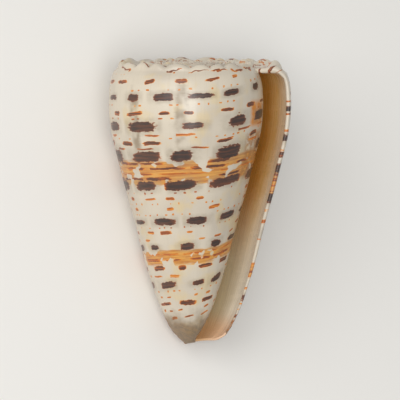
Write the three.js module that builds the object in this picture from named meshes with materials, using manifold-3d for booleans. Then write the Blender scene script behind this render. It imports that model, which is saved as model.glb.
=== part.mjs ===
// A cone shell: one coiled wall of shell, wide and nearly flat at the knobbed spire, tapering to a blunt
// front end, with one long narrow aperture between the outer lip and the coil before it.
//
// The shell is drawn upright, with its coiling axis along +Y from the front end at the origin to the spire
// and its aperture facing +Z, and is then laid down on its back with the spire towards +X.
// "turns" counts coils back from the outer lip: 0 at the lip, 1 one coil earlier, and so on to the apex.
// All sizes are in millimetres, and angles in degrees where a name says so.

import * as THREE from "three";
import { mergeVertices } from "three/addons/utils/BufferGeometryUtils.js";
import Module from "manifold-3d";

// Driving dimensions.
const SHELL_HEIGHT = 74.3; // from the front end to the shoulder, without its knobs
const SHOULDER_RADIUS = 23.4; // at the lip
const COIL_RATIO = 0.704; // each coil's shoulder radius over the next one's
const LIP_AZIMUTH_DEG = 12; // the lip stands this far past the +X side, towards +Z

// The lip stands out a little from the coil's own curve.
const LIP_FLARE = 0.7;
const FLARE_TURNS = 0.12;

// The wall thickens in from the lip, and is thin at the front end and where a later coil covers it.
const LIP_THICKNESS = 1.1;
const WALL_THICKNESS = 2.3;
const THICKENING_TURNS = 0.1;
const FRONT_SHARE = 0.55;
const COVERED_SHARE = 0.45;
const COVERED_FROM_TURNS = 0.85;
const COVERED_TO_TURNS = 1.05;

// The spire: a ledge that winds in, with a row of knobs along its edge.
const SPIRE_COILS = 3; // with their own ledges, before the plain tip
const SPIRE_RISE = 0.35; // each coil stands this much above the next, at the lip's scale
const KNOBS_PER_COIL = 20;
const KNOB_HEIGHT = 1.25;
// The ledge's section at the lip's scale: how far in from the shoulder each point is, and how far down.
const LEDGE_CORNER = { inward: 0.35, down: 0.7 };
const LEDGE_KNOB = { inward: 1.3, down: 0 };
const LEDGE_RAMP = { inward: 2.6, down: 0.2 };
const LEDGE_SEAM = { inward: -0.25, down: 0.45 }; // counted from the shoulder of the coil before

// The hollow, which ends in the solid core of the earliest coils.
const HOLLOW_TURNS = 1.8;
const COLUMELLA_RADIUS = 0.9; // of the solid pillar on the axis, at the front end
const OPEN_TURNS = 0.3; // the hollow is open at the front end for this much coil
const OPEN_FLOOR = -2; // its floor there, which is below the front end
const FLOOR_RISE = 16; // per turn, after that
const MOUTH_CLEARANCE = 0.3; // from the coil before, where the hollow comes out of the aperture

// How the shell lies on its back.
const ROLL_DEG = 30.14; // the lip's side is up by this much, where the shell balances
const TILT_DEG = 14.8; // the axis rises to the spire, because the tapering side is what touches
const YAW_DEG = -90;
const REST_DEPTH = 0.4; // the rounded back is flat this deep where it rests, so that it doesn't roll

// Facets.
const COLUMNS = 60; // around one coil
const MERGE_DISTANCE = 1e-4;
const HALVINGS = 30; // in the search for a height along the outline

// The outline on the side away from the aperture: [height, radius].
const OUTLINE = [
  [0, 1.7],
  [2.5, 4.4],
  [6.5, 7.0],
  [16.5, 10.8],
  [32, 15.0],
  [47, 19.1],
  [58, 21.7],
  [66, 22.1],
  [71.8, 20.6],
];
const OUTLINE_TURNS = 0.5;
// Heights of the side's rows of facets, from the front end to the shoulder.
const HEIGHTS = [0, 1.6, 4, 7.5, 13, 20, 29, 38, 46, 53, 58.5, 63.5, 68, 71.8];

const { degToRad, mapLinear, smoothstep } = THREE.MathUtils;
const outline = new THREE.CatmullRomCurve3(
  OUTLINE.map(([height, radius]) => new THREE.Vector3(radius, height, 0)),
);

function outlineRadius(height) {
  let low = 0;
  let high = 1;
  for (let step = 0; step < HALVINGS; step++) {
    const middle = (low + high) / 2;
    if (outline.getPoint(middle).y < height) low = middle;
    else high = middle;
  }
  return outline.getPoint(low).x;
}

const scaleAt = (turns) => COIL_RATIO ** turns;
const shoulderRadius = (turns) => SHOULDER_RADIUS * scaleAt(turns);

// The coil's side at a height is the outline moved out or in, by as much as the shoulder is.
function sideRadius(turns, height) {
  const moved = shoulderRadius(turns) - shoulderRadius(OUTLINE_TURNS);
  const flare = LIP_FLARE * (1 - smoothstep(turns, 0, FLARE_TURNS));
  return Math.max(outlineRadius(height) + moved + flare, COLUMELLA_RADIUS);
}

function wallThickness(turns, height) {
  const full = mapLinear(smoothstep(turns, 0, THICKENING_TURNS), 0, 1, LIP_THICKNESS, WALL_THICKNESS);
  const front = mapLinear(smoothstep(height, 0, SHELL_HEIGHT / 2), 0, 1, FRONT_SHARE, 1);
  const covered = mapLinear(smoothstep(turns, COVERED_FROM_TURNS, COVERED_TO_TURNS), 0, 1, 1, COVERED_SHARE);
  return full * front * covered;
}

// A point of the shell at a number of turns back from the lip.
function place(turns, radius, height) {
  const azimuth = degToRad(LIP_AZIMUTH_DEG) - 2 * Math.PI * turns;
  return [radius * Math.cos(azimuth), height, radius * Math.sin(azimuth)];
}

// The side's column of points at a column number, from the front end up.
function sideColumn(column) {
  const turns = column / COLUMNS;
  return HEIGHTS.map((height) => place(turns, sideRadius(turns, height), height));
}

// The spire's ledge at a column number, from its corner in to the seam with the coil before.
function ledgeColumn(column) {
  const turns = column / COLUMNS;
  const scale = scaleAt(turns);
  const top = SHELL_HEIGHT + (SPIRE_RISE * (1 - scale)) / (1 - COIL_RATIO);
  const knob = KNOB_HEIGHT * Math.max(0, Math.cos(2 * Math.PI * KNOBS_PER_COIL * turns));
  const point = (from, section, raised) =>
    place(turns, from - section.inward * scale, top + (raised - section.down) * scale);
  return [
    point(shoulderRadius(turns), LEDGE_CORNER, 0),
    point(shoulderRadius(turns), LEDGE_KNOB, knob),
    point(shoulderRadius(turns), LEDGE_RAMP, 0),
    point(shoulderRadius(turns + 1), LEDGE_SEAM, 0),
  ];
}

// Collects points and faces into one mesh.
class Surface {
  positions = [];
  faces = [];

  point(position) {
    this.positions.push(...position);
    return this.positions.length / 3 - 1;
  }

  points(positions) {
    return positions.map((position) => this.point(position));
  }

  // Quads between two columns of points that run up, with right to the right of left as seen from outside.
  strip(left, right) {
    for (let i = 0; i + 1 < left.length; i++) {
      this.faces.push(left[i], right[i], right[i + 1]);
      this.faces.push(left[i], right[i + 1], left[i + 1]);
    }
  }

  // Triangles from a centre to a ring that runs anticlockwise as seen from outside.
  fan(centre, ring) {
    for (let i = 0; i + 1 < ring.length; i++) this.faces.push(centre, ring[i], ring[i + 1]);
  }

  geometry() {
    const geometry = new THREE.BufferGeometry();
    geometry.setAttribute("position", new THREE.Float32BufferAttribute(this.positions, 3));
    geometry.setIndex(this.faces);
    return geometry;
  }
}

// The shell's outside, as if it were filled: one coil of side, and the ledges of the spire over it.
function outsideGeometry() {
  const surface = new Surface();
  const last = COLUMNS * SPIRE_COILS;
  const sides = [];
  const ledges = [];
  for (let c = 0; c <= COLUMNS; c++) sides.push(surface.points(sideColumn(c)));
  for (let c = 0; c <= last; c++) ledges.push(surface.points(ledgeColumn(c)));
  for (let c = 0; c < COLUMNS; c++) {
    surface.strip([...sides[c], ...ledges[c]], [...sides[c + 1], ...ledges[c + 1]]);
  }
  for (let c = COLUMNS; c < last; c++) surface.strip(ledges[c], ledges[c + 1]);

  // Each ledge's seam meets the corner of the coil before.
  const seam = (c) => [ledges[c].at(-1), ledges[c + COLUMNS][0]];
  for (let c = 0; c < last - COLUMNS; c++) surface.strip(seam(c), seam(c + 1));

  // The plain tip closes the innermost seam.
  const tip = surface.point([0, SHELL_HEIGHT + SPIRE_RISE / (1 - COIL_RATIO), 0]);
  const innermost = ledges.slice(last - COLUMNS).map((points) => points.at(-1));
  surface.fan(tip, [...innermost, ...ledges[last].slice(0, -1).reverse(), innermost[0]]);

  // The front end is flat.
  const front = surface.point([0, 0, 0]);
  surface.fan(front, [...sides.map((side) => side[0]).reverse(), sides[COLUMNS][0]]);

  // The step from the lip in to the coil before closes the filled shape, and the hollow cuts it away.
  surface.strip([...sides[COLUMNS], ledges[COLUMNS][0]], [...sides[0], ledges[0][0]]);
  surface.fan(ledges[COLUMNS][0], ledges[0]);
  return surface.geometry();
}

// The hollow that winds in from the aperture, between the wall and the coil before it.
function hollowGeometry() {
  const surface = new Surface();
  const roof = HEIGHTS.at(-1);
  const columns = [];
  for (let c = -1; c <= HOLLOW_TURNS * COLUMNS; c++) {
    const turns = c / COLUMNS;
    const floor = OPEN_FLOOR + FLOOR_RISE * Math.max(0, turns - OPEN_TURNS);
    const rows = HEIGHTS.map((height) => mapLinear(height, 0, roof, floor, roof));
    const clearance = c < 0 ? MOUTH_CLEARANCE : 0;
    const outer = rows.map((h) => place(turns, sideRadius(turns, h) - wallThickness(turns, h), h));
    const inner = rows.map((h) => place(turns, sideRadius(turns + 1, h) + clearance, h));
    columns.push({ outer: surface.points(outer), inner: surface.points(inner) });
  }
  const around = ({ outer, inner }) => [...outer, ...inner.toReversed(), outer[0]];
  for (let c = 0; c + 1 < columns.length; c++) surface.strip(around(columns[c]), around(columns[c + 1]));
  surface.strip(columns[0].inner, columns[0].outer);
  surface.strip(columns.at(-1).outer, columns.at(-1).inner);
  return surface.geometry();
}

const wasm = await Module();
wasm.setup();

function solidOf(geometry) {
  const merged = mergeVertices(geometry, MERGE_DISTANCE);
  return new wasm.Manifold(
    new wasm.Mesh({
      numProp: 3,
      vertProperties: merged.attributes.position.array,
      triVerts: new Uint32Array(merged.index.array),
    }),
  );
}

function geometryOf(solid) {
  const { vertProperties, triVerts } = solid.getMesh();
  const geometry = new THREE.BufferGeometry();
  geometry.setAttribute("position", new THREE.BufferAttribute(vertProperties, 3));
  geometry.setIndex(new THREE.BufferAttribute(triVerts, 1));
  geometry.computeVertexNormals();
  return geometry;
}

// Cuts the flat that a solid rests on once it is turned.
function restedFlat(solid, turn) {
  const turned = geometryOf(solid).applyMatrix4(new THREE.Matrix4().makeRotationFromQuaternion(turn));
  turned.computeBoundingBox();
  const up = new THREE.Vector3(0, 0, 1).applyQuaternion(turn.clone().invert());
  return solid.trimByPlane(up.toArray(), turned.boundingBox.min.z + REST_DEPTH);
}

const lying = new THREE.Euler(degToRad(TILT_DEG), degToRad(-ROLL_DEG), degToRad(YAW_DEG), "ZXY");
const hollowed = solidOf(outsideGeometry()).subtract(solidOf(hollowGeometry()));
const shell = new THREE.Mesh(
  geometryOf(restedFlat(hollowed, new THREE.Quaternion().setFromEuler(lying))),
  new THREE.MeshStandardMaterial({ color: "#e9dfce", roughness: 0.35, metalness: 0 }),
);
shell.name = "shell";
shell.rotation.copy(lying);

// The origin is under the middle of the shell, on the surface that it lies on.
const coneShell = new THREE.Group();
coneShell.add(shell);
const box = new THREE.Box3().setFromObject(coneShell, true);
const middle = box.getCenter(new THREE.Vector3());
shell.position.set(-middle.x, -middle.y, -box.min.z);

export default coneShell;
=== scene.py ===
# %% [markdown]
# # A cone shell
# A cone snail builds its shell by adding a little to the outer lip, day after day, while the lip swings
# round an axis. So the shell is one long sheet, rolled up: wide and nearly flat at the knobbed spire,
# tapering to a blunt front end, with a narrow aperture between the lip and the coil before it.
# The packed model is loaded first. It is the frame: the shell's size, its place and how it lies.

# %% Load the frame
import math

import bpy
import numpy as np
from mathutils import Matrix, Vector


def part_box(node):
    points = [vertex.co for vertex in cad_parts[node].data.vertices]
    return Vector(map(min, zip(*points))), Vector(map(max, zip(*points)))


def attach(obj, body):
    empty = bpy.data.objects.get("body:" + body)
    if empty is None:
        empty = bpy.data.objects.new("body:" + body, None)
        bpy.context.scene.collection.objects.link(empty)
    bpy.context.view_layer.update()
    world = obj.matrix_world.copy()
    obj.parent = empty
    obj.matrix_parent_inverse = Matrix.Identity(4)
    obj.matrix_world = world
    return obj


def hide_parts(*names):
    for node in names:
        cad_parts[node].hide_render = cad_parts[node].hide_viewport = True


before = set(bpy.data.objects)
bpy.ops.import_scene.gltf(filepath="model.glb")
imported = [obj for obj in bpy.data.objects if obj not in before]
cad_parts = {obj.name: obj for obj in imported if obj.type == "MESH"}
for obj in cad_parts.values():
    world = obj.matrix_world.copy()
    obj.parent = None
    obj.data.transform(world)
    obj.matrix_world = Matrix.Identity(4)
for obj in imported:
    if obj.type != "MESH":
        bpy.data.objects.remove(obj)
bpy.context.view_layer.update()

MM = 0.001

# %% [markdown]
# ## The rule of growth
# Everything on the shell is placed by two numbers: how many turns back from the lip it grew, and how far
# up the side it is. A screw or a spin keeps one section at one size, but here each coil is smaller than
# the next, so the rule is written as functions. The work is done upright, with the coiling axis along Y,
# in millimetres, and the shell is laid down at the end.

# %% The coil
LIP_AZIMUTH = math.radians(12)
SHOULDER_RADIUS = 23.4
COIL_RATIO = 0.704  # each coil's shoulder radius over the next one's
COLUMELLA_RADIUS = 0.9
# The outline on the side away from the aperture: height from the front end, and radius.
OUTLINE = [(0, 2.4), (2.5, 5.0), (6.5, 7.4), (16.5, 11.2), (32, 15.4), (47, 19.5), (58, 22.0), (66, 22.4),
           (71.0, 21.8), (72.6, 21.2), (73.6, 20.6)]
OUTLINE_TURNS = 0.5


def smoothstep(value, low, high):
    share = np.clip((value - low) / (high - low), 0, 1)
    return share * share * (3 - 2 * share)


def through(points, places):
    """A smooth curve through points, each a place and its values, read at the given places."""
    points = np.asarray(points, float)
    at, values = points[:, 0], points[:, 1:]
    slopes = np.gradient(values, at, axis=0)
    places = np.clip(places, at[0], at[-1])
    left = np.clip(np.searchsorted(at, places) - 1, 0, len(at) - 2)
    step = at[left + 1] - at[left]
    t = ((places - at[left]) / step)[..., None]
    step = step[..., None]
    return (
        (1 + 2 * t) * (1 - t) ** 2 * values[left]
        + t * (1 - t) ** 2 * step * slopes[left]
        + t * t * (3 - 2 * t) * values[left + 1]
        - t * t * (1 - t) * step * slopes[left + 1]
    )


def shoulder_radius(turns):
    return SHOULDER_RADIUS * COIL_RATIO ** turns


print("shoulder radius, coil by coil:", [round(float(shoulder_radius(n)), 1) for n in range(5)])

# %% [markdown]
# ## The side of a coil
# The side is the outline, moved out or in as the shoulder is. It swells and sinks by a few hundredths of
# a millimetre where growth paused, and the front end has fine spiral cords. These are in the mesh itself,
# because glossy shell shows them in its highlights.

# %% The side
LIP_FLARE = 0.7
FLARE_TURNS = 0.12
CORD_HEIGHT = 0.09
CORD_SPACING = 1.9
CORD_SLANT = 3  # mm per turn
CORDS_END = 5, 17  # mm up
PAUSE_DEPTH = 0.035
PAUSE_RATES = 43.9, 97.3  # radians per turn: two waves out of step, so that no two pauses are alike
PAUSE_PHASE = 1.3
FOLD_DEPTH = 0.008
FOLD_RATE = 271.0
CROWDING, CROWDING_RATE = 2.0, 17.0  # of the folds
LEAN = 0.06, 0.09  # of pauses and folds, in radians per mm of height
PILLAR_SOFTNESS = 0.5


def growth_marks(turns, height):
    pauses = np.sin(PAUSE_RATES[0] * turns + LEAN[0] * height)
    pauses = pauses * np.sin(PAUSE_RATES[1] * turns + PAUSE_PHASE)
    crowding = CROWDING * np.sin(CROWDING_RATE * turns)
    folds = np.sin(FOLD_RATE * turns + LEAN[1] * height + crowding)
    cords = CORD_HEIGHT * np.sin(2 * np.pi * (height + CORD_SLANT * turns) / CORD_SPACING)
    return PAUSE_DEPTH * pauses + FOLD_DEPTH * folds + cords * (1 - smoothstep(height, *CORDS_END))


def lip_flare(turns):
    return LIP_FLARE * (1 - smoothstep(turns, 0, FLARE_TURNS))


def side_radius(turns, height):
    moved = shoulder_radius(turns) - shoulder_radius(OUTLINE_TURNS) + lip_flare(turns)
    radius = through(OUTLINE, height)[..., 0] + moved + growth_marks(turns, height)
    # A soft lower limit: the coils' front ends wrap round one thin pillar.
    over = radius - COLUMELLA_RADIUS
    return COLUMELLA_RADIUS + (over + np.sqrt(over**2 + PILLAR_SOFTNESS**2)) / 2


at_lip = side_radius(0.0, np.linspace(0, 72, 73))
print("widest, at the lip:", round(float(at_lip.max()), 1), "mm from the axis")

# %% [markdown]
# ## The spire's ledge and its knobs
# Above the shoulder the coil turns in over a ledge, which ends at the seam with the coil before. Along its
# edge stands a row of rounded knobs with sharp dips between them. The ledge is one section, given at the
# lip's scale and shrunk with the coil, and the knobs lift it by the share that each point is given.

# %% The ledge
SHELL_HEIGHT = 74.3
SPIRE_RISE = 0.35  # each coil stands this much above the next, at the lip's scale
KNOBS_PER_COIL = 20
KNOB_HEIGHT = 1.35
KNOB_BULGE = 0.2
NEWEST_KNOB = 0.15  # of the full height, at the lip
KNOBS_FULL_TURNS = 0.06
KNOB_SHARPNESS = 0.85  # under 1 rounds the tops and sharpens the dips
KNOB_UNEVENNESS = 0.3
KNOB_DRIFT = 0.14  # of their spacing
KNOB_DRIFT_RATE = 37.0  # radians per turn
KNOB_SEED = 5
MOST_KNOBS = 400
# Points along the section: how far in from the shoulder, how far up, and the share of the knob's height.
LEDGE = [(-0.55, -0.85, 0.03), (-0.35, -0.4, 0.35), (0.2, -0.05, 0.8), (1, 0.1, 1),
         (1.75, 0.06, 0.9), (2.55, -0.08, 0.45), (3.35, -0.24, 0.1), (4.4, -0.4, 0),
         (5.5, -0.48, 0), (6.35, -0.4, 0)]
LEDGE_ROWS = 16

knob_sizes = 1 + KNOB_UNEVENNESS * np.random.default_rng(KNOB_SEED).uniform(-1, 1, MOST_KNOBS)


def knob(turns):
    """How high the knobs stand at each number of turns, from 0 in a dip to about 1."""
    along = KNOBS_PER_COIL * turns + KNOB_DRIFT * np.sin(KNOB_DRIFT_RATE * turns)
    number = np.round(along).astype(int)
    grown = NEWEST_KNOB + (1 - NEWEST_KNOB) * smoothstep(turns, 0, KNOBS_FULL_TURNS)
    return np.abs(np.cos(np.pi * along)) ** KNOB_SHARPNESS * knob_sizes[number] * grown


def ledge_points(turns):
    """Radius and height of the ledge's points, but not of its seam, for each number of turns."""
    scale = (COIL_RATIO**turns)[:, None]
    top = SHELL_HEIGHT + SPIRE_RISE * (1 - scale) / (1 - COIL_RATIO)
    places = np.linspace(0, len(LEDGE) - 1, LEDGE_ROWS - 1)
    inward, up, share = through([(n, *point) for n, point in enumerate(LEDGE)], places).T
    raised = knob(turns)[:, None] * share
    flare = lip_flare(turns)[:, None] * np.linspace(1, 0, LEDGE_ROWS - 1)
    radius = shoulder_radius(turns)[:, None] + flare + (KNOB_BULGE * raised - inward) * scale
    return radius, top + (up + KNOB_HEIGHT * raised) * scale


print(LEDGE_ROWS, "rows over the ledge, and", KNOBS_PER_COIL, "knobs on each coil")

# %% [markdown]
# ## A flat sheet
# A grid primitive is the sheet before it is rolled. Across it run the columns: in from the end of the
# hollow to the lip on the inside of the wall, round the lip's thin edge, and back outside, coil after
# coil, to the tip of the spire. Up it run the rows: the rim of the front end, the side, and the ledge.
# The rows stand closer where the outline turns, near the front end and the shoulder.

# %% The sheet
PER_TURN = 200
HOLLOW_TURNS = 1.8
SPIRE_TURNS = 8
FOLD = 4  # columns round the lip's edge, and rows from the roof of the hollow to the ledge
RIM_ROWS = 3
OPEN_TURNS = 0.425  # the hollow is open at the front end for this much coil
ROOF = 72.6  # of the hollow
side_heights = np.concatenate([
    np.linspace(0, 8, 10), np.linspace(9.3, 60, 28), np.linspace(61.5, ROOF, 9),
])

in_columns = round(HOLLOW_TURNS * PER_TURN)
out_columns = SPIRE_TURNS * PER_TURN
columns = in_columns + 1 + FOLD + out_columns + 1
first_side = RIM_ROWS
roof_row = first_side + len(side_heights) - 1
corner_row = roof_row + FOLD + 1
rows = corner_row + LEDGE_ROWS

bpy.ops.object.select_all(action="DESELECT")
bpy.ops.mesh.primitive_grid_add(x_subdivisions=columns - 1, y_subdivisions=rows - 1, size=1)
shell = bpy.context.object
shell.name = "cone_shell"
mesh = shell.data
mesh.name = "cone_shell"
print("sheet:", columns, "columns and", rows, "rows")

# %% [markdown]
# ## Cutting the sheet to shape
# A later coil buries much of the one before: all of the ledge's riser after one turn, and the whole side
# past the hollow. That is deleted while the sheet is flat, when a face's column and row say where it is.
# A new primitive is selected all over, so that comes off before the faces are chosen.

# %% Cut the sheet
def flat_places(vectors):
    """Column and row numbers of points on the flat sheet."""
    return (vectors[:, 0] + 0.5) * (columns - 1), (vectors[:, 1] + 0.5) * (rows - 1)


middles = np.empty(len(mesh.polygons) * 3)
mesh.polygons.foreach_get("center", middles)
column, row = flat_places(middles.reshape(-1, 3))
turns = (column - in_columns - 1 - FOLD) / PER_TURN
under_the_ledge = (turns > 1) & (row > roof_row) & (row < corner_row)
past_the_hollow = (turns > 1 + HOLLOW_TURNS) & (row < corner_row)
no_rim = (turns > OPEN_TURNS) & (row < first_side)

bpy.ops.object.mode_set(mode="EDIT")
bpy.ops.mesh.select_mode(type="FACE")
bpy.ops.mesh.select_all(action="DESELECT")
bpy.ops.object.mode_set(mode="OBJECT")
mesh.polygons.foreach_set("select", under_the_ledge | past_the_hollow | no_rim)
bpy.ops.object.mode_set(mode="EDIT")
bpy.ops.mesh.delete(type="FACE")
bpy.ops.object.mode_set(mode="OBJECT")
print(len(mesh.polygons), "faces are left")

# %% [markdown]
# ## The wall
# The wall thickens in from the lip, and it is thin at the front end. The snail dissolves its older walls
# from inside to make room, so they are thin too. The inside of the sheet is the outside moved in by this.

# %% The wall's thickness
LIP_THICKNESS = 1.1
WALL_THICKNESS = 2.3
THICKENING_TURNS = 0.1
FRONT_SHARE = 0.55
COVERED_SHARE = 0.45
COVERED_TURNS = 0.85, 1.05
FLOOR_RISE = 16  # mm per turn, past the open front end
CANAL_RISE = 0.9  # the lip's front end stops this far short of the body's
CANAL_FROM = 0.05
LIP_CORNER_RISE = 2.2  # more than that at the lip's edge, which turns the corner in a curve
LIP_CORNER_TURNS = 0.07
LIP_CORNER_CURVE = 2.5


def wall_thickness(turns, height):
    full = LIP_THICKNESS + (WALL_THICKNESS - LIP_THICKNESS) * smoothstep(turns, 0, THICKENING_TURNS)
    front = FRONT_SHARE + (1 - FRONT_SHARE) * smoothstep(height, 0, SHELL_HEIGHT / 2)
    covered = 1 + (COVERED_SHARE - 1) * smoothstep(turns, *COVERED_TURNS)
    return full * front * covered


def heights_at(turns, hollow_turns):
    """The side's heights at each number of turns. They start from the floor of the hollow."""
    canal = CANAL_RISE * (1 - smoothstep(turns, CANAL_FROM, OPEN_TURNS))
    canal += LIP_CORNER_RISE * np.maximum(0, 1 - turns / LIP_CORNER_TURNS) ** LIP_CORNER_CURVE
    floor = canal + FLOOR_RISE * np.maximum(0, hollow_turns - OPEN_TURNS - 1 / PER_TURN)
    return floor[:, None] + side_heights * (1 - floor[:, None] / ROOF)


def corner_point(turns):
    radius, height = ledge_points(turns)
    return np.stack([radius[:, 0], height[:, 0]], axis=1)


print("wall:", LIP_THICKNESS, "mm at the lip,", WALL_THICKNESS, "mm behind it")

# %% [markdown]
# ## Sections through the sheet
# Each column becomes a section: a list of radii and heights. Outside, the section runs from the rim of the
# front end up the side and over the ledge, and ends on the corner of the coil before, where it will be
# welded. Inside, it will run up the wall and across the roof of the hollow to the coil before.

# %% Outer sections
def outer_sections(turns):
    height = heights_at(turns, turns - 1)
    radius = side_radius(turns[:, None], height)
    half = wall_thickness(turns, height[:, 0])[:, None] / 2
    angle = np.linspace(np.pi / 2, 0, RIM_ROWS, endpoint=False)
    rim = radius[:, :1] - half * (1 - np.cos(angle)), height[:, :1] - half * np.sin(angle)
    corner = corner_point(turns)[:, None]
    top = np.stack([radius[:, -1:], height[:, -1:]], axis=2)
    share = np.linspace(0, 1, FOLD + 2)[1:-1, None]
    riser = top + (corner - top) * share
    seam = corner_point(turns + 1)
    ledge = ledge_points(turns)
    return np.stack([
        np.hstack([rim[0], radius, riser[..., 0], ledge[0], seam[:, :1]]),
        np.hstack([rim[1], height, riser[..., 1], ledge[1], seam[:, 1:]]),
    ], axis=2)


print("an outer section has", outer_sections(np.zeros(1)).shape[1], "points")

# %% [markdown]
# ## Sections inside the hollow
# The wall inside is the outer wall moved in. A fillet rounds the corner under the roof, as the snail's
# glaze does, and the wall is kept clear of the coil before. Where the front end is open, half rings join
# the inside to the outside, and past that a floor closes the hollow off.

# %% Inner sections
FILLET = 1.6
FILLET_DEPTH = 0.6  # of the fillet's height
CLEARANCE = 0.15


def inner_sections(turns):
    outer = outer_sections(turns)
    before = outer_sections(turns + 1)
    height = heights_at(turns, turns)
    near_roof = np.clip((height - ROOF + FILLET) / FILLET, 0, 1)
    fillet = FILLET_DEPTH * FILLET * (1 - np.sqrt(1 - near_roof**2))
    radius = side_radius(turns[:, None], height) - wall_thickness(turns[:, None], height) - fillet
    radius = np.maximum(radius, before[:, first_side:roof_row + 1, 0] + CLEARANCE)
    # Across the roof, in step with the ledge above.
    end = before[:, roof_row]
    above = outer[:, roof_row + 1:, 0]
    share = (above - end[:, :1]) / (outer[:, roof_row, :1] - end[:, :1])
    share[:, -1] = 0
    roof_radius = end[:, :1] + (radius[:, -1:] - end[:, :1]) * np.clip(share, 0, 1)
    roof_height = np.broadcast_to(end[:, 1:], roof_radius.shape)
    # The front: round the rim where the hollow is open, and a floor to the coil before where it isn't.
    half = (outer[:, first_side, :1] - radius[:, :1]) / 2
    angle = np.linspace(np.pi / 2, 0, RIM_ROWS, endpoint=False)
    rim_radius = radius[:, :1] + half * (1 - np.cos(angle))
    rim_height = height[:, :1] - half * np.sin(angle)
    across = np.linspace(1, 0, RIM_ROWS, endpoint=False)
    bottom = before[:, first_side]
    floor_radius = radius[:, :1] + (bottom[:, :1] - radius[:, :1]) * across
    floor_height = height[:, :1] + (bottom[:, 1:] - height[:, :1]) * across
    is_open = (turns <= OPEN_TURNS + 1e-9)[:, None]
    return np.stack([
        np.hstack([np.where(is_open, rim_radius, floor_radius), radius, roof_radius]),
        np.hstack([np.where(is_open, rim_height, floor_height), height, roof_height]),
    ], axis=2)


turns_in = np.arange(in_columns, -1, -1) / PER_TURN
turns_out = np.arange(out_columns + 1) / PER_TURN
inside = inner_sections(turns_in)
outside = outer_sections(turns_out)
print("sections inside and outside:", inside.shape, outside.shape)

# %% [markdown]
# ## Winding the sections round the axis
# Round the lip's edge the sections swing in a half circle from the inside of the wall to the outside. Then
# each section gets its azimuth from its turns, and the whole sheet has its place on the coil.

# %% Wind the sections
swing = np.pi * np.arange(1, FOLD + 1)[:, None, None] / (FOLD + 1)
centre = (inside[-1] + outside[0]) / 2
reach = (outside[0] - inside[-1]) / 2
fold = centre - reach * np.cos(swing)
fold[:, -1] = outside[PER_TURN, roof_row + 1:corner_row]
to_seam = np.clip((np.arange(rows) - corner_row) / (LEDGE_ROWS - 1), 0, 1)
forward = np.linalg.norm(reach, axis=1) * (1 - to_seam**4) * np.sin(swing[..., 0])

sections = np.concatenate([inside, fold, outside])
sheet_turns = np.concatenate([turns_in, np.zeros(FOLD), turns_out])[:, None]
azimuth = LIP_AZIMUTH - 2 * np.pi * sheet_turns + np.zeros(rows)
azimuth[in_columns + 1:in_columns + 1 + FOLD] += forward / fold[..., 0]
radius, height = sections[..., 0], sections[..., 1]
wound = np.stack([radius * np.cos(azimuth), height, radius * np.sin(azimuth)], axis=2) * MM
print("wound sections:", wound.shape[0], "of", wound.shape[1], "points")

# %% [markdown]
# ## Rolling the sheet up
# Every vertex of the flat sheet goes to its place on the coil. The UV map is set too, to turns and
# millimetres instead of 0 to 1, so that all the markings can be laid out along the growth. Inside the
# hollow the turns count below zero.

# %% Roll it up
LEDGE_V = 74.0  # the UV map's V at the ledge's corner
LEDGE_V_SPAN = 10.0

sheet_u = np.concatenate([-turns_in, np.zeros(FOLD), turns_out])[:, None] + np.zeros(rows)
sheet_v = height.copy()
sheet_v[:, roof_row + 1:corner_row] = np.linspace(ROOF, LEDGE_V, FOLD + 2)[1:-1]
sheet_v[:, corner_row:] = LEDGE_V + np.linspace(0, LEDGE_V_SPAN, LEDGE_ROWS)

flat = np.empty(len(mesh.vertices) * 3)
mesh.vertices.foreach_get("co", flat)
column, row = (np.rint(place).astype(int) for place in flat_places(flat.reshape(-1, 3)))
mesh.vertices.foreach_set("co", wound[column, row].ravel())

growth_map = mesh.uv_layers[0]
growth_map.name = "growth"
corners = np.empty(len(mesh.loops), dtype=int)
mesh.loops.foreach_get("vertex_index", corners)
uv = np.stack([sheet_u[column, row], sheet_v[column, row]], axis=1)
growth_map.data.foreach_set("uv", uv[corners].ravel())
mesh.update()
highest = max(vertex.co.y for vertex in mesh.vertices)
print("rolled up:", round(highest / MM, 1), "mm up to the highest knob")

# %% [markdown]
# ## Welding and closing
# Each ledge's last row lies exactly on the coil before, so merging doubles welds every seam. Three small
# holes are left: the front end, the inner end of the hollow and the apex. They are filled and poked, which
# gives each a vertex at its middle to pull into a dome. Then the mesh is one closed body, as a shell is.

# %% Weld and close
WELD = 0.001 * MM


def open_edges():
    bpy.ops.mesh.select_mode(type="EDGE")
    bpy.ops.mesh.select_non_manifold(extend=False, use_wire=True, use_boundary=True,
                                     use_multi_face=True, use_non_contiguous=False, use_verts=False)
    return bpy.context.object.data.total_edge_sel


bpy.ops.object.mode_set(mode="EDIT")
bpy.ops.mesh.select_all(action="SELECT")
bpy.ops.mesh.remove_doubles(threshold=WELD)
before_filling = open_edges()
bpy.ops.mesh.fill_holes(sides=0)
bpy.ops.mesh.select_mode(type="FACE")
bpy.ops.mesh.select_all(action="DESELECT")
bpy.ops.mesh.select_face_by_sides(number=4, type="GREATER", extend=False)
bpy.ops.mesh.poke()
left_open = open_edges()
bpy.ops.mesh.select_all(action="SELECT")
bpy.ops.mesh.normals_make_consistent(inside=False)
bpy.ops.object.mode_set(mode="OBJECT")
print("open edges:", before_filling, "before filling,", left_open, "after;", len(mesh.polygons), "faces")

# %% [markdown]
# ## Doming the front end and the apex
# The poked middles are still flat. They are the only vertices where so many edges meet, which is how they
# are found. The one at the front end is pushed out, and the one at the apex is raised into a worn tip.

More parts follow.
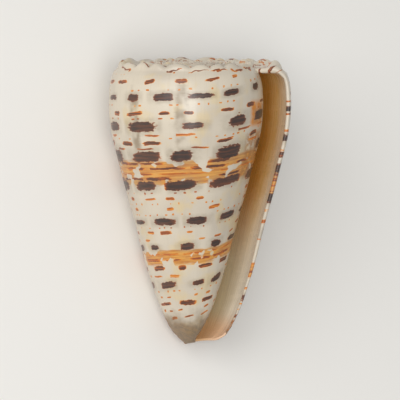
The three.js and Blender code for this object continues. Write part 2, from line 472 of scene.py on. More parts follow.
# %% Dome the ends
FRONT_DOME = -0.3
APEX_DOME = 0.45
edge_ends = np.empty(len(mesh.edges) * 2, dtype=int)
mesh.edges.foreach_get("vertices", edge_ends)
many = PER_TURN / 2
poles = np.flatnonzero(np.bincount(edge_ends) > many)
for number in poles:
    pole = mesh.vertices[number]
    if pole.co.y < 0:
        pole.co.y += FRONT_DOME * MM
    elif pole.co.y > SHELL_HEIGHT * MM:
        pole.co.y += APEX_DOME * MM
print("poles at these heights in mm:", [round(mesh.vertices[n].co.y / MM, 1) for n in poles])

# %% [markdown]
# ## Laying it down
# A loose cone shell can't stand on its narrow end. It lies on its back, rolled to where it balances, with
# the aperture up. The turn is set on the object and then applied, so that the object stands at the origin,
# unturned, with its place in its mesh. Its box is centred on the frame's, whose plain solid it stands for.

# %% Lay it down
TILT = math.radians(14.8)
ROLL = math.radians(30.14)
YAW = math.radians(-90)
SMOOTH_UNDER = math.radians(55)


def box_of(obj):
    places = np.empty(len(obj.data.vertices) * 3)
    obj.data.vertices.foreach_get("co", places)
    places = places.reshape(-1, 3)
    return Vector(places.min(axis=0)), Vector(places.max(axis=0))


bpy.ops.object.select_all(action="DESELECT")
shell.select_set(True)
bpy.context.view_layer.objects.active = shell
shell.rotation_mode = "YXZ"
shell.rotation_euler = TILT, -ROLL, YAW
spin = shell.rotation_euler.to_matrix()
spire_side = spin @ Vector((0, 1, 0))
aperture_side = spin @ Vector((0, 0, 1))
bpy.ops.object.transform_apply(location=False, rotation=True, scale=False)

low, high = box_of(shell)
cad_box_low, cad_box_high = (Vector(corner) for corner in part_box("shell"))
shift = (cad_box_low + cad_box_high - low - high) / 2
shift.z = cad_box_low.z - low.z
shell.location = shift
bpy.ops.object.transform_apply(location=True, rotation=False, scale=False)
bpy.ops.object.shade_smooth_by_angle(angle=SMOOTH_UNDER)
low, high = box_of(shell)
print("shell's box in mm:", [round(side / MM, 1) for side in high - low])
print("frame's box in mm:", [round(side / MM, 1) for side in cad_box_high - cad_box_low])

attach(shell, "root")
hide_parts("shell")

# %% [markdown]
# ## Colours for nodes
# A colour is easiest to write as six hex digits, as a colour picker shows it. Nodes reckon in linear light,
# so one helper turns the digits into linear values.

# %% Colour helper
def linear(tint):
    """A colour written as six hex digits, in the linear values that nodes use."""
    parts = [int(tint[n:n + 2], 16) / 255 for n in (0, 2, 4)]
    return (*[p / 12.92 if p <= 0.04045 else ((p + 0.055) / 1.055) ** 2.4 for p in parts], 1.0)


PORCELAIN = "d5c9b5"
print("porcelain in linear values:", [round(part, 2) for part in linear(PORCELAIN)])

# %% [markdown]
# ## A bench for shader nodes
# The finish is all nodes, with no picture anywhere. Adding and wiring nodes one by one makes long code, so
# a small helper does it: numbers go into a socket as its value, and another node's output is linked.

# %% Node helper
class Wiring:
    """Adds nodes to one tree and links them."""

    def __init__(self, tree):
        self.tree = tree

    def put(self, socket, value):
        if isinstance(value, bpy.types.NodeSocket):
            self.tree.links.new(value, socket)
        else:
            socket.default_value = value

    def node(self, kind, values=None, **settings):
        made = self.tree.nodes.new(kind)
        for name, value in settings.items():
            setattr(made, name, value)
        for name, value in (values or {}).items():
            self.put(made.inputs[name], value)
        return made

    def math(self, operation, *values):
        made = self.node("ShaderNodeMath", operation=operation)
        for socket, value in zip(made.inputs, values):
            self.put(socket, value)
        return made.outputs[0]

    def times(self, first, second):
        return self.math("MULTIPLY", first, second)

    def fade(self, value, low, high, to_low=0.0, to_high=1.0):
        """A soft step: to_low where value is at low or before it, and to_high at high or past it."""
        # A soft step is clamped by itself, and a second clamp for each would make the shader too big.
        made = self.node("ShaderNodeMapRange", interpolation_type="SMOOTHSTEP", clamp=False)
        for socket, number in zip(made.inputs, (value, low, high, to_low, to_high)):
            self.put(socket, number)
        return made.outputs[0]

    def mix(self, share, first, second):
        made = self.node("ShaderNodeMix", data_type="RGBA")
        for number, value in ((0, share), (6, first), (7, second)):
            self.put(made.inputs[number], value)
        return made.outputs[2]

    def report(self, step):
        print(step + ":", len(self.tree.nodes), "nodes")


print("wiring:", [name for name in vars(Wiring) if not name.startswith("_")])

# %% [markdown]
# ## Helpers for patterns
# Markings need a few more kinds of node: a place made of two numbers, soft noise, chances that each cell of
# a pattern draws for itself, and a ramp that turns an amount into a colour.

# %% Pattern helper
class Bench(Wiring):
    """Adds patterns to one tree."""

    def place(self, x, y):
        return self.node("ShaderNodeCombineXYZ", {"X": x, "Y": y}).outputs[0]

    def noise(self, vector, scale, detail=2.0, roughness=0.5):
        values = {"Vector": vector, "Scale": scale, "Detail": detail, "Roughness": roughness}
        return self.node("ShaderNodeTexNoise", values).outputs["Fac"]

    def chance(self, seed):
        """Random numbers that stay the same for the same seed: three in a row, and one more."""
        made = self.node("ShaderNodeTexWhiteNoise", {"W": seed}, noise_dimensions="1D")
        three = self.node("ShaderNodeSeparateColor", {"Color": made.outputs["Color"]})
        return three.outputs, made.outputs["Value"]

    def ramp(self, value, stops):
        made = self.node("ShaderNodeValToRGB", {"Fac": value})
        elements = made.color_ramp.elements
        while len(elements) < len(stops):
            elements.new(0.5)
        for element, (position, tint) in zip(elements, stops):
            element.position = position
            element.color = linear(tint)
        return made.outputs["Color"]


print("patterns:", [name for name in vars(Bench) if not name.startswith("_")])

# %% [markdown]
# ## The sockets of a row of dashes
# As the lip grows, cells along its edge switch their pigment on and off, so the shell is covered in rows of
# dashes. One row is a node group, because rows differ only in their numbers. A group's sockets are made on
# its tree's interface, and inside it an input and an output node stand for them.

# %% An empty group for a row
ROW_INPUTS = {
    "Turns": 0.0,  # along the row
    "Depth": 0.0,  # across it, in mm
    "Rough": 0.0,  # a shared noise about zero, for ragged edges
    "Row": 0.0,  # the row's own depth
    "Thickness": 1.0,  # of a dash, in mm
    "Per turn": 12.0,
    "Shift": 0.0,  # in cells
    "Length": 0.4,  # of a dash, as a share of its cell
    "Straying": 0.4,  # of a dash from its cell's middle
    "Filled": 0.9,  # share of the cells that have a dash
    "Slant": 0.0,  # rise along a dash's cell, in mm
    "Ink": 1.0,
}
row_group = bpy.data.node_groups.new("Row of dashes", "ShaderNodeTree")
for name, value in ROW_INPUTS.items():
    socket = row_group.interface.new_socket(name, in_out="INPUT", socket_type="NodeSocketFloat")
    socket.default_value = value
for name in ("Pigment", "Halo"):
    row_group.interface.new_socket(name, in_out="OUTPUT", socket_type="NodeSocketFloat")
bench = Bench(row_group)
given = bench.node("NodeGroupInput").outputs
result = bench.node("NodeGroupOutput").inputs
print("row group:", len(ROW_INPUTS), "inputs")

# %% [markdown]
# ## Cells and their dashes
# The turns are cut into cells, and each cell draws its own chances from white noise: where its dash lies,
# how long, thick and slanted it is, and whether there is one. In each pair of numbers the draw scales the
# first, and the second is added.

# %% The shape of a dash
SEED_STEP = 101.0  # keeps the cells of all rows apart
SECOND_DRAW = 0.37
HALF_LENGTH = 0.4, 0.3
HALF_THICKNESS = 0.3, 0.35
LEANING = 2.0, -0.6
SQUARENESS = 3.0  # 2 would make ovals, and more makes bars

along = bench.math("MULTIPLY_ADD", given["Turns"], given["Per turn"], given["Shift"])
cell = bench.math("FLOOR", along)
in_cell = bench.math("FRACT", along)
own_seed = bench.math("MULTIPLY_ADD", cell, SEED_STEP, given["Row"])
(stray, stretch, lean), filled = bench.chance(own_seed)
swell = bench.chance(bench.math("ADD", own_seed, SECOND_DRAW))[1]
off_middle = bench.times(bench.math("SUBTRACT", stray, 0.5), given["Straying"])
from_middle = bench.math("SUBTRACT", in_cell, bench.math("ADD", off_middle, 0.5))
half_length = bench.times(given["Length"], bench.math("MULTIPLY_ADD", stretch, *HALF_LENGTH))
lengthwise = bench.math("DIVIDE", bench.math("ABSOLUTE", from_middle), half_length)
slant = bench.times(given["Slant"], bench.math("MULTIPLY_ADD", lean, *LEANING))
rise = bench.times(from_middle, slant)
aside = bench.math("ADD", bench.math("SUBTRACT", given["Depth"], given["Row"]), rise)
own_thickness = bench.math("MULTIPLY_ADD", swell, *HALF_THICKNESS)
half_thickness = bench.times(given["Thickness"], own_thickness)
crosswise = bench.math("DIVIDE", bench.math("ABSOLUTE", aside), half_thickness)
length_part = bench.math("POWER", lengthwise, SQUARENESS)
squared = bench.math("ADD", length_part, bench.math("POWER", crosswise, SQUARENESS))
outward = bench.math("ADD", bench.math("POWER", squared, 1 / SQUARENESS), given["Rough"])
bench.report("shape of a dash")

# %% [markdown]
# ## How much pigment
# Where pigment is thin it is orange, and where it is thick it is nearly black, so the group puts out only
# how much there is: full in the middle of a dash, less at its ends, and a wide faint halo round it, which
# fades before the border of its cell.

# %% The pigment of a dash
INK = -0.32, 1.05  # the draw that fills a cell also thins its pigment
CELL_BORDER = 0.5, 0.4
THIN_ENDS = 1.05, 0.55, 0.42, 1.0
DASH_EDGE = 1.08, 0.72
HALO_EDGE = 2.3, 0.8

there = bench.math("LESS_THAN", filled, given["Filled"])
ink = bench.times(given["Ink"], bench.math("MULTIPLY_ADD", filled, *INK))
ink = bench.times(ink, there)
from_cell_middle = bench.math("ABSOLUTE", bench.math("SUBTRACT", in_cell, 0.5))
cell_edge = bench.fade(from_cell_middle, *CELL_BORDER)
thin_ends = bench.fade(lengthwise, *THIN_ENDS)
solid = bench.times(bench.fade(outward, *DASH_EDGE), thin_ends)
bench.put(result["Pigment"], bench.times(solid, ink))
shadow = bench.times(bench.fade(outward, *HALO_EDGE), cell_edge)
bench.put(result["Halo"], bench.times(shadow, ink))
bench.report("row of dashes")

# %% [markdown]
# ## Where a point is on the growth
# The UV map gives turns and height. The rows aren't level: as the shell grew, each row drew nearer the
# shoulder going back from the lip, and faster beside the aperture. So the rows are laid out by a depth
# below the shoulder in which they are straight.

# %% Growth coordinates
SHOULDER_V = SHELL_HEIGHT - 0.5
ROWS_RISE = 5.4  # mm per turn
LAST_RISE = 1.3  # mm more, over the stretch before the aperture
LAST_STRETCH = 0.82, 1.0

shell_finish = bpy.data.materials.new("porcelain shell with rows of dashes")
shell_finish.use_nodes = True
shell_finish.node_tree.nodes.clear()
bench = Bench(shell_finish.node_tree)
growth = bench.node("ShaderNodeUVMap", uv_map="growth").outputs["UV"]
u, v, _ = bench.node("ShaderNodeSeparateXYZ", {"Vector": growth}).outputs
space = bench.node("ShaderNodeTexCoord").outputs["Object"]

below_shoulder = bench.math("SUBTRACT", SHOULDER_V, v)
rise_along = bench.times(u, ROWS_RISE)
last_rise = bench.fade(u, *LAST_STRETCH, 0.0, LAST_RISE)
depth = bench.math("ADD", below_shoulder, bench.math("ADD", rise_along, last_rise))
bench.report("growth coordinates")

# %% [markdown]
# ## Noises that all the marks share
# Three noises in the shell's own space are grain, softer grain and clouds, and one on the growth map is
# stretched along the turns, as fibres are. Fibres and grain together fray the dashes' edges, and the softer
# grain lets whole rows wander.

# %% Shared noises
GRAIN_SCALE, SOFT_SCALE, CLOUD_SCALE = 1000, 320, 70  # per metre
FIBRES_SCALE = 75.0, 2.4, 1.0  # per turn, and per mm
RAGGEDNESS = 0.6
WANDER = 0.8  # mm

fine_noise = bench.noise(space, GRAIN_SCALE, 3.0, 0.6)
soft_noise = bench.noise(space, SOFT_SCALE, 2.0)
wide_noise = bench.noise(space, CLOUD_SCALE, 2.0)
stretched = bench.node("ShaderNodeMapping", {"Vector": growth, "Scale": FIBRES_SCALE}).outputs["Vector"]
fibres = bench.noise(stretched, 1.0, 2.0, 0.55)
ragged = bench.math("MULTIPLY_ADD", bench.math("ADD", fine_noise, fibres), RAGGEDNESS, -RAGGEDNESS)
wander = bench.math("MULTIPLY_ADD", soft_noise, WANDER, -WANDER / 2)
wandering_depth = bench.math("ADD", depth, wander)
bench.report("with shared noises")

# %% [markdown]
# ## Where the bands are
# Two ochre bands with lines in them go round the shell. Where all the cells across a band stopped at once,
# a gap breaks both, so one mask of gaps serves the bands and their lines.

# %% Bands and their gaps
BANDS = [(30.9, 3.3), (54.0, 2.0)]  # depth of the middle, and half the width
GAPS_PER_TURN, GAPS_PER_MM = 19.0, 0.24
GAP_EDGE = 0.415, 0.45
across_gaps = bench.place(bench.times(u, GAPS_PER_TURN), bench.times(depth, GAPS_PER_MM))
unbroken = bench.fade(bench.noise(across_gaps, 1.0, 2.5, 0.55), *GAP_EDGE)
print(len(BANDS), "bands")

# %% [markdown]
# ## All the rows
# There are big dark bars, smaller brown ones, thin orange dashes and scattered specks. A table keeps their
# rows side by side, from the shoulder down.

# %% Rows over the side
ROWS = [
    # depth, thickness, per turn, shift, length, straying, filled, slant, ink
    (2, 0.5, 40, 0.3, 0.32, 0.9, 0.5, 0, 0.22),
    (4.3, 0.6, 46, 0, 0.34, 0.9, 0.62, 0, 0.24),
    (6.5, 1, 15, 0.2, 0.38, 0.5, 0.84, 1, 0.78),
    (8.7, 0.55, 44, 0, 0.32, 0.9, 0.65, 0, 0.24),
    (10.6, 1.7, 12.6, 0.4, 0.52, 0.4, 0.93, 0.3, 1),
    (12.8, 0.55, 48, 0, 0.32, 0.9, 0.65, 0, 0.24),
    (14.9, 1.1, 14.5, 0, 0.5, 0.6, 0.86, 0.6, 0.84),
    (16.3, 0.5, 40, 0.5, 0.34, 0.9, 0.6, 0, 0.24),
    (18.4, 2.5, 9.4, 0.18, 0.5, 0.3, 0.97, 0.3, 1),
    (20.8, 0.65, 14, 0.5, 0.6, 0.6, 0.85, 0, 0.34),
    (21.7, 0.45, 50, 0.5, 0.34, 0.9, 0.6, 0, 0.24),
    (22.9, 1.3, 11.6, 0.3, 0.44, 0.6, 0.85, 0.7, 0.84),
    (24.4, 0.65, 14, 0.1, 0.6, 0.6, 0.85, 0, 0.36),
    (26.5, 3, 9.4, 0.25, 0.64, 0.25, 0.96, 0.7, 0.97),
    (28.4, 0.7, 13, 0.6, 0.98, 0.3, 0.85, 0, 0.44),
    (29.8, 0.8, 10, 0.2, 1.05, 0.3, 0.92, 0, 0.7),
    (31.2, 0.5, 14, 0.2, 1, 0.3, 0.8, 0, 0.42),
    (32.5, 0.8, 11, 0.8, 1.05, 0.3, 0.9, 0, 0.64),
    (34.4, 2.5, 9.4, 0.3, 0.8, 0.3, 0.88, 0.9, 0.93),
    (36.4, 0.5, 44, 0.6, 0.3, 0.9, 0.5, 0, 0.24),
    (38, 0.9, 15, 0.4, 0.46, 0.7, 0.82, 0.3, 0.46),
    (39.4, 0.5, 50, 0, 0.3, 0.9, 0.6, 0, 0.22),
    (40.8, 0.9, 15, 0.7, 0.46, 0.7, 0.84, 0.3, 0.48),
    (42.3, 0.5, 40, 0, 0.3, 0.9, 0.6, 0, 0.24),
    (44.2, 1.7, 9.2, 0.1, 0.58, 0.4, 0.92, 0.5, 1),
    (45.8, 0.45, 50, 0.4, 0.3, 0.9, 0.5, 0, 0.24),
    (47.1, 0.9, 14, 0.5, 0.48, 0.7, 0.84, 0.2, 0.46),
    (49.2, 0.7, 14, 0.9, 0.4, 0.8, 0.75, 0.2, 0.34),
    (51.2, 1.6, 9, 0.6, 0.56, 0.4, 0.94, 0.4, 0.94),
    (53.1, 0.6, 13, 0.3, 1, 0.3, 0.85, 0, 0.38),
    (54.6, 0.8, 10, 0.3, 0.9, 0.3, 0.88, 0, 0.52),
    (56.8, 1.4, 10, 0.9, 0.52, 0.6, 0.88, 0.5, 0.86),
    (59, 0.7, 11, 0.4, 0.48, 0.7, 0.8, 0.3, 0.32),
    (61.3, 1.5, 8, 0.2, 0.56, 0.5, 0.92, 0.5, 0.92),
    (63.1, 0.55, 30, 0.7, 0.36, 0.8, 0.75, 0.2, 0.28),
    (64.6, 0.6, 14, 0.1, 0.44, 0.8, 0.75, 0.4, 0.36),
    (66.5, 1.2, 7.6, 0.6, 0.6, 0.5, 0.85, 0.5, 0.86),
    (68.4, 0.7, 14, 0.2, 0.46, 0.7, 0.75, 0.4, 0.44),
    (70.4, 0.7, 9, 0.5, 0.5, 0.6, 0.75, 0.5, 0.5),
]
print("from", ROWS[0][0], "to", ROWS[-1][0], "mm below the shoulder")

# %% [markdown]
# ## Laying the rows out
# Each row is a copy of the group, and a maximum joins them, so that the thicker pigment wins where two meet.
# Rows inside a band break at its gaps, only the darkest bars have a halo, and all end at the shoulder.

# %% Lay the rows out
ROW_NAMES = ("Row", "Thickness", "Per turn", "Shift", "Length", "Straying", "Filled", "Slant", "Ink")
HALO_FROM_INK = 0.9
SIDE_EDGE = 0.6


def add_row(along, across, numbers):
    """A copy of the row group, with its numbers in the order of ROW_NAMES."""
    made = bench.node("ShaderNodeGroup", node_tree=row_group)
    named = dict(zip(ROW_NAMES, numbers))
    for name, value in {"Turns": along, "Depth": across, "Rough": ragged, **named}.items():
        bench.put(made.inputs[name], value)
    return made.outputs["Pigment"], made.outputs["Halo"]


def strongest(marks, more):
    return bench.math("MAXIMUM", marks, more) if marks else more


pigment, halo = None, None
for numbers in ROWS:
    marks, shade = add_row(u, wandering_depth, numbers)
    if any(abs(numbers[0] - middle_depth) < half_width for middle_depth, half_width in BANDS):
        marks = bench.times(marks, unbroken)
    pigment = strongest(pigment, marks)
    if numbers[-1] >= HALO_FROM_INK:
        halo = strongest(halo, shade)
on_the_side = bench.fade(v, ROOF + SIDE_EDGE, ROOF - SIDE_EDGE)
pigment = bench.times(pigment, on_the_side)
bench.report("all rows over the side")

# %% [markdown]
# ## Marks on the spire and along the lip
# On the ledge the same cells make short curved scribbles between the knobs, and along the margin of the lip
# they are cut off as ticks. Both use the row group: on the ledge with the UV map's V as its depth, and on
# the lip with the directions swapped, so that the row runs up the edge.

# %% Spire and lip marks
SPIRE_ROWS = [
    (74.3, 0.8, 20, 0.5, 0.8, 0.5, 0.8, 2, 0.7),
    (77.6, 0.8, 20, 0.2, 0.8, 0.8, 0.8, 2.8, 0.78),
    (79.2, 0.9, 20, 0.7, 0.7, 0.8, 0.65, 2, 0.44),
    (81, 0.9, 20, 0.4, 0.8, 0.8, 0.75, 2.6, 0.7),
    (82.8, 0.8, 20, 0.9, 0.7, 0.8, 0.5, 1.6, 0.46),
]
LIP_ROWS = [
    (1.2, 2.2, 0.34, 0.3, 0.42, 0.8, 0.8, 0.5, 0.76),
    (1, 2.4, 0.45, 0.6, 0.36, 0.8, 0.5, 0.5, 0.36),
]
SCRIBBLE = 5.0  # mm
MM_PER_TURN = 150  # near the lip
SPIRE_EDGE = LEDGE_V - 0.9, LEDGE_V - 0.1
LIP_TOP = 71, 69

scribbled_v = bench.math("ADD", v, bench.math("MULTIPLY_ADD", soft_noise, SCRIBBLE, -SCRIBBLE / 2))
spire_marks = None
for numbers in SPIRE_ROWS:
    spire_marks = strongest(spire_marks, add_row(u, scribbled_v, numbers)[0])
spire_marks = bench.times(spire_marks, bench.fade(v, *SPIRE_EDGE))
from_lip = bench.times(u, MM_PER_TURN)
lip_marks = None
for numbers in LIP_ROWS:
    lip_marks = strongest(lip_marks, add_row(v, from_lip, numbers)[0])
lip_marks = bench.times(lip_marks, bench.fade(v, *LIP_TOP))
pigment = strongest(pigment, strongest(spire_marks, lip_marks))
bench.report("with spire and lip")

# %% [markdown]
# ## The body colour
# Under the marks the shell is porcelain, whiter or greyer in soft clouds, with cream patches and hair-fine
# lines of growth that run from the spire to the front end.

# %% Body colour
GREY_PORCELAIN = "c8bcaa"
CREAM = "dabf85"
GROWTH_LINE = "b6a68e"
LINES_PER_TURN, LINES_PER_MM = 260.0, 0.05
IN_TWO = 0.35, 0.65  # splits a noise softly in two
CREAM_SCALE = 150
CREAM_EDGE = 0.5, 0.7
CREAM_SHARE = 0.5
LINES = 0.5, 0.8, 0.0, 0.25

lines_at = bench.place(bench.times(u, LINES_PER_TURN), bench.times(v, LINES_PER_MM))
growth_lines = bench.noise(lines_at, 1.0, 3.0, 0.65)
body = bench.mix(bench.fade(wide_noise, *IN_TWO), linear(PORCELAIN), linear(GREY_PORCELAIN))
cream_cloud = bench.fade(bench.noise(space, CREAM_SCALE, 3.0), *CREAM_EDGE)
body = bench.mix(bench.times(cream_cloud, CREAM_SHARE), body, linear(CREAM))
body = bench.mix(bench.fade(growth_lines, *LINES), body, linear(GROWTH_LINE))
bench.report("body colour done")

# %% [markdown]
# ## Two ochre bands and the smears
# The bands are streaky along their length, and the same streaks fray their edges. Grey-brown smears run up
# and down between some of the big bars. They are one more, very thick row, of which only the halo is used.

# %% Bands and smears
OCHRE, DARK_OCHRE = "d99b40", "bb7226"
BAND_SHARE = 0.93
BAND_EDGE = 0.35
STREAKS_PER_TURN, STREAKS_PER_MM = 14.0, 1.7
FRAYING = 1.8  # mm
SMEAR = "8b7860"
SMEAR_ROW = (18, 15, 9.4, 0.22, 0.2, 0.3, 0.62, 0, 1)
SMEAR_SCALE = 190
SMEAR_BREAKS = 0.4, 0.64, 0.0, 0.8

streaks_at = bench.place(bench.times(u, STREAKS_PER_TURN), bench.times(depth, STREAKS_PER_MM))
streaks = bench.noise(streaks_at, 1.0, 3.0, 0.6)
less_fraying = bench.math("SUBTRACT", wandering_depth, FRAYING / 2)
frayed_depth = bench.math("MULTIPLY_ADD", streaks, FRAYING, less_fraying)
band = None
for middle_depth, half_width in BANDS:
    from_middle = bench.math("ABSOLUTE", bench.math("SUBTRACT", frayed_depth, middle_depth))
    band = strongest(band, bench.fade(from_middle, half_width + BAND_EDGE, half_width - BAND_EDGE))
band = bench.times(bench.times(band, unbroken), on_the_side)
ochre = bench.mix(bench.fade(streaks, *IN_TWO), linear(OCHRE), linear(DARK_OCHRE))
smear = bench.times(add_row(u, wandering_depth, SMEAR_ROW)[1], on_the_side)
smear_breaks = bench.fade(bench.noise(space, SMEAR_SCALE, 2.0, 0.5), *SMEAR_BREAKS)
smear = bench.times(smear, smear_breaks)
body = bench.mix(bench.times(band, BAND_SHARE), body, ochre)
body = bench.mix(smear, body, linear(SMEAR))
bench.report("bands done")

# %% [markdown]
# ## The stain beside the aperture
# Where the newest coil meets the one before, an orange stain runs down beside the aperture, deep above and
# torn into shreds below.

# %% Stain
STAIN, LOWER_STAIN = "d5852c", "a8713a"
STAIN_AT = 0.925, 1.0, 58.0, 66.5  # from and to, in turns and mm up
LOWER_STAIN_AT = 0.915, 1.02, 44.0, 58.5
SOFT_U, SOFT_V = 0.015, 2.0
TORN_SCALE = 520
TORN_EDGE = 0.38, 0.56
LEAST_STAIN = 0.7  # where it is torn
LOWER_SHARE = 0.75


def patch(u_low, u_high, v_low, v_high):
    """A soft-edged patch of the growth map."""
    left = bench.fade(u, u_low, u_low + SOFT_U)
    wide = bench.times(left, bench.fade(u, u_high, u_high - SOFT_U))
    bottom = bench.fade(v, v_low, v_low + SOFT_V)
    tall = bench.times(bottom, bench.fade(v, v_high, v_high - SOFT_V))
    return bench.times(wide, tall)


torn = bench.fade(bench.noise(space, TORN_SCALE, 3.0, 0.6), *TORN_EDGE)
stain = bench.times(patch(*STAIN_AT), bench.math("MULTIPLY_ADD", torn, 1 - LEAST_STAIN, LEAST_STAIN))
body = bench.mix(stain, body, linear(STAIN))
lower_stain = bench.times(patch(*LOWER_STAIN_AT), bench.times(torn, LOWER_SHARE))
body = bench.mix(lower_stain, body, linear(LOWER_STAIN))
bench.report("stain done")

# %% [markdown]
# ## The worn front end
# The front end is worn through its gloss: grey-brown and rough where the foot rubbed it, and orange-brown
# on the back, with rubbed lines round it and dark grit in its pits.

# %% Front end
WORN_BACK, WORN_FRONT = "ac7038", "866844"
RUBBED, GRIT = "6b5844", "584838"
WORN_EDGE = 10.0, 3.5  # mm up
WORN_UNEVENNESS = 8.0
WORN_FROM = -0.01, 0.0  # turns: only the outside is worn
BACK_TO_FRONT = 0.45, 0.62  # turns
RUBBED_PER_TURN, RUBBED_SLANT, RUBBED_PER_MM = 9.0, 30.0, 2.4
RUBBED_LINES = 0.44, 0.6, 0.0, 0.6
GRIT_SPOTS = 0.42, 0.65, 0.0, 0.4

ragged_v = bench.math("MULTIPLY_ADD", soft_noise, WORN_UNEVENNESS, -WORN_UNEVENNESS / 2)
ragged_v = bench.math("ADD", v, ragged_v)
worn = bench.times(bench.fade(ragged_v, *WORN_EDGE), bench.fade(u, *WORN_FROM))
worn_colour = bench.mix(bench.fade(u, *BACK_TO_FRONT), linear(WORN_BACK), linear(WORN_FRONT))
rubbed_along = bench.times(u, RUBBED_PER_TURN)
rubbed_up = bench.math("MULTIPLY_ADD", u, RUBBED_SLANT, bench.times(v, RUBBED_PER_MM))
rubbed_at = bench.place(rubbed_along, rubbed_up)
rubbed = bench.noise(rubbed_at, 1.0, 3.0, 0.6)
worn_colour = bench.mix(bench.fade(rubbed, *RUBBED_LINES), worn_colour, linear(RUBBED))
worn_colour = bench.mix(bench.fade(fine_noise, *GRIT_SPOTS), worn_colour, linear(GRIT))
bench.report("front end done")

# %% [markdown]
# ## Pigment on the body colour
# The halo of the big bars is a thin grey-brown shadow. Then one colour ramp turns the amount of pigment
# into colour: yellow, orange, red-brown, and the blackish brown of the middle of a big bar. The streaks
# thin it line by line, as the mantle laid it.

# %% Pigment colour
HALO = "8d7d66"
HALO_SHARE = 0.3, 0.6, 0.2, 0.5
PIGMENT_STREAKS = 0.36, 0.58, 0.46, 1.05
PIGMENT_PART, HALO_PART = 0.7, 0.3
PIGMENT_EDGE = 0.02, 0.2
WORN_SHARE = 0.85

halo = bench.times(halo, on_the_side)
body = bench.mix(bench.times(halo, bench.fade(soft_noise, *HALO_SHARE)), body, linear(HALO))
pigment = bench.times(pigment, bench.fade(streaks, *PIGMENT_STREAKS))
thickness = bench.math("MULTIPLY_ADD", pigment, PIGMENT_PART, bench.times(halo, HALO_PART))
pigment_colour = bench.ramp(thickness, [
    (0.0, "e2a64c"), (0.12, "d9882c"), (0.21, "c26a26"),
    (0.31, "985029"), (0.48, "653f2e"), (0.90, "3e302a"),
])
marked = bench.mix(bench.fade(pigment, *PIGMENT_EDGE), body, pigment_colour)
outside_colour = bench.mix(bench.times(worn, WORN_SHARE), marked, worn_colour)
bench.report("outside done")

# %% [markdown]
# ## Inside the aperture
# The inside has no marks. It is cream behind the lip and darkens further in, to golden brown at the wide end
# and to tan at the narrow one, with a touch of orange at the front. The darkening with depth is partly the
# inside's own golden and tan colour and partly painted shade of the deep, narrow hollow. Turns below zero on
# the growth map are inside, and so are those past one, where the coil before runs in behind the lip.

# %% Inside colour and painted shade
INSIDE_FROM = 1.012, 1.032  # turns
AT_THE_GAP = 0.1  # how far in the coil before already is, in turns
DEPTH_SCALE = 2.6
DEPTH_UNEVENNESS = 0.03
NARROW_TO_WIDE = 18.0, 46.0  # mm up
FRONT_ORANGE = "dda06a"
FRONT_EDGE = 9.0, 2.5, 0.0, 0.65

past_lip = bench.times(u, -1.0)
further_in = bench.math("MAXIMUM", past_lip, bench.math("SUBTRACT", u, INSIDE_FROM[0] - AT_THE_GAP))
uneven = bench.math("MULTIPLY_ADD", soft_noise, DEPTH_UNEVENNESS, -DEPTH_UNEVENNESS / 2)
deep_scale = bench.times(bench.math("ADD", further_in, uneven), DEPTH_SCALE)
# Both ramps darken going deeper in: partly the inside's own golden and tan colour, partly painted shade of
# the deep hollow.
wide_end_colour_and_painted_shade = bench.ramp(deep_scale, [
    (0.0, "fff6e6"), (0.11, "fbe7c2"), (0.19, "f0ca80"),
    (0.28, "dfa54c"), (0.42, "cc8c36"), (0.7, "b4742a"),
])
narrow_end_colour_and_painted_shade = bench.ramp(deep_scale, [
    (0.0, "f6ecdc"), (0.15, "ecdfc8"), (0.36, "dccaa4"), (0.56, "cdb484"), (1.0, "b4986a"),
])
inside_colour_and_painted_shade = bench.mix(bench.fade(v, *NARROW_TO_WIDE), narrow_end_colour_and_painted_shade, wide_end_colour_and_painted_shade)
inside_colour_and_painted_shade = bench.mix(bench.fade(v, *FRONT_EDGE), inside_colour_and_painted_shade, linear(FRONT_ORANGE))
bench.report("inside colour done")

# %% [markdown]
# ## Outside and inside together
# One mask says which side a point is on. It stops just under the ledge, whose far edge also lies past one
# turn but is outside.

# %% Join outside and inside
LIP_EDGE = 0.0, -0.004  # turns
UNDER_LEDGE = LEDGE_V - 0.2, LEDGE_V - 0.6

in_the_hollow = bench.fade(u, *LIP_EDGE)
behind_the_lip = bench.fade(u, *INSIDE_FROM)
is_inside = bench.math("MAXIMUM", in_the_hollow, behind_the_lip)
under_ledge = bench.fade(v, *UNDER_LEDGE)
is_inside = bench.times(is_inside, bench.math("MAXIMUM", under_ledge, bench.fade(u, *LIP_EDGE)))
shell_colour = bench.mix(is_inside, outside_colour, inside_colour_and_painted_shade)
bench.report("colours joined")

# %% [markdown]
# ## Gloss and fine relief
# The outside has a satin gloss, a little duller over pigment and growth lines and rough at the worn front
# end, and the inside is glazed. The relief in the shader is only what is too fine for the mesh: growth
# lines and the grit of the worn end.

# %% Gloss and relief
SATIN = 0.35, 0.75, 0.3, 0.42  # from smooth porcelain to the growth lines
PIGMENT_DULLS, WEAR_DULLS, GLAZE = 0.06, 0.3, 0.08
GRIT_HEIGHT = 3.0  # times a growth line's

roughness = bench.fade(growth_lines, *SATIN)
roughness = bench.math("MULTIPLY_ADD", pigment, PIGMENT_DULLS, roughness)
roughness = bench.math("MULTIPLY_ADD", worn, WEAR_DULLS, roughness)
roughness = bench.math("SUBTRACT", roughness, bench.times(is_inside, GLAZE))
grit = bench.times(bench.times(fine_noise, worn), GRIT_HEIGHT)
relief = bench.math("MULTIPLY_ADD", growth_lines, on_the_side, grit)
bump = bench.node("ShaderNodeBump", {"Strength": 0.35, "Distance": 0.03 * MM, "Height": relief})
finish = bench.node("ShaderNodeBsdfPrincipled", {
    "Base Color": shell_colour,
    "Roughness": roughness,
    "IOR": 1.5,
    "Coat Weight": 0.15,
    "Coat Roughness": 0.15,
    "Normal": bump.outputs[0],
})
bench.node("ShaderNodeOutputMaterial", {"Surface": finish.outputs[0]})
mesh.materials.clear()
mesh.materials.append(shell_finish)
bench.report("finish")

# %% [markdown]
# ## The floor
# The shell lies on a plane of one even pale colour, matt like a studio's paper, so that nothing draws the
# eye away from it.

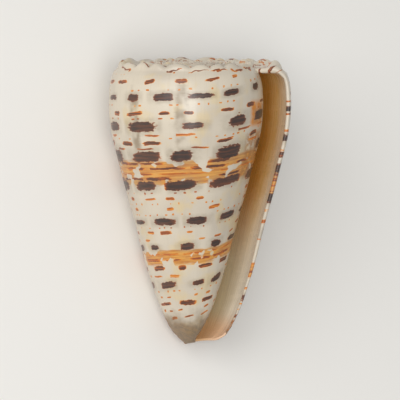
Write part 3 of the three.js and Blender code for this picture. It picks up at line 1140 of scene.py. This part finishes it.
# %% Floor
PAPER = "efece6"
bpy.ops.object.select_all(action="DESELECT")
bpy.ops.mesh.primitive_plane_add(size=3, location=(0, 0, 0))
floor = bpy.context.object
floor.name = "floor"
paper = bpy.data.materials.new("pale paper")
paper.use_nodes = True
matt = paper.node_tree.nodes["Principled BSDF"]
matt.inputs["Base Color"].default_value = linear(PAPER)
matt.inputs["Roughness"].default_value = 0.9
floor.data.materials.append(paper)
print("floor:", round(floor.dimensions.x, 1), "m wide")

# %% [markdown]
# ## The camera
# Shells are pictured aperture up and spire at the top, from far off, so that the outline isn't distorted.
# The camera looks along the shell's own aperture direction, tipped a little towards the spire, where the
# far knobs then show over the near ones. Its distance comes from the lens and the share of the picture.

# %% Camera
CAMERA_TILT = math.radians(4.3)  # towards the spire
LENS = 600  # a very long lens, far off: the shell is seen almost without perspective
SENSOR = 36
SHARE_OF_PICTURE = 0.722  # that the shell's length takes up

back = (aperture_side * math.cos(CAMERA_TILT) + spire_side * math.sin(CAMERA_TILT)).normalized()
picture_up = (spire_side - back * spire_side.dot(back)).normalized()
picture_right = picture_up.cross(back)
places = np.array([vertex.co for vertex in mesh.vertices])
middle = Vector((0, 0, 0))
for direction in (picture_right, picture_up, back):
    spread = places @ np.array(direction)
    middle += direction * float(spread.min() + spread.max()) / 2
length_seen = float(np.ptp(places @ np.array(picture_up)))
distance = length_seen / SHARE_OF_PICTURE * LENS / SENSOR

camera_data = bpy.data.cameras.new("camera")
camera_data.lens = LENS
camera_data.sensor_width = SENSOR
camera_data.clip_start = 0.01
camera = bpy.data.objects.new("camera", camera_data)
bpy.context.scene.collection.objects.link(camera)
camera.location = middle + back * distance
camera.rotation_mode = "QUATERNION"
camera.rotation_quaternion = Matrix((picture_right, picture_up, back)).transposed().to_quaternion()
bpy.context.scene.camera = camera
print("camera", round(distance, 3), "m away, looking at", [round(c / MM, 1) for c in middle])

# %% [markdown]
# ## The light
# A glossy shell needs big soft lights, or it shows hard spots. One large area light stands at the upper
# left of the camera, one at the camera itself fills the aperture, and an even pale sky opens the shadows.

# %% Lights
KEY_FROM = back * 0.95 - picture_right * 0.38 + picture_up * 0.3
FRONT_FROM = back * 1.0 + picture_right * 0.1 - picture_up * 0.1
SKY = "eef0f2"


def soft_light(name, direction, distance, size, power):
    """A square area light that faces the shell."""
    data = bpy.data.lights.new(name, "AREA")
    data.size = size
    data.energy = power
    lamp = bpy.data.objects.new(name, data)
    bpy.context.scene.collection.objects.link(lamp)
    lamp.location = middle + direction.normalized() * distance
    lamp.rotation_mode = "QUATERNION"
    lamp.rotation_quaternion = direction.to_track_quat("Z", "Y")


soft_light("key light", KEY_FROM, distance=1.1, size=0.8, power=5.2)
soft_light("front light", FRONT_FROM, distance=1.2, size=0.5, power=4.8)
sky = bpy.data.worlds.new("even pale sky")
sky.use_nodes = True
glow = sky.node_tree.nodes["Background"]
glow.inputs["Color"].default_value = linear(SKY)
glow.inputs["Strength"].default_value = 0.5
bpy.context.scene.world = sky
bpy.context.scene.view_settings.view_transform = "Standard"

# %% [markdown]
# ## Sizes
# The visual model has to keep to the frame's size, so both boxes are printed where the shell is laid down.
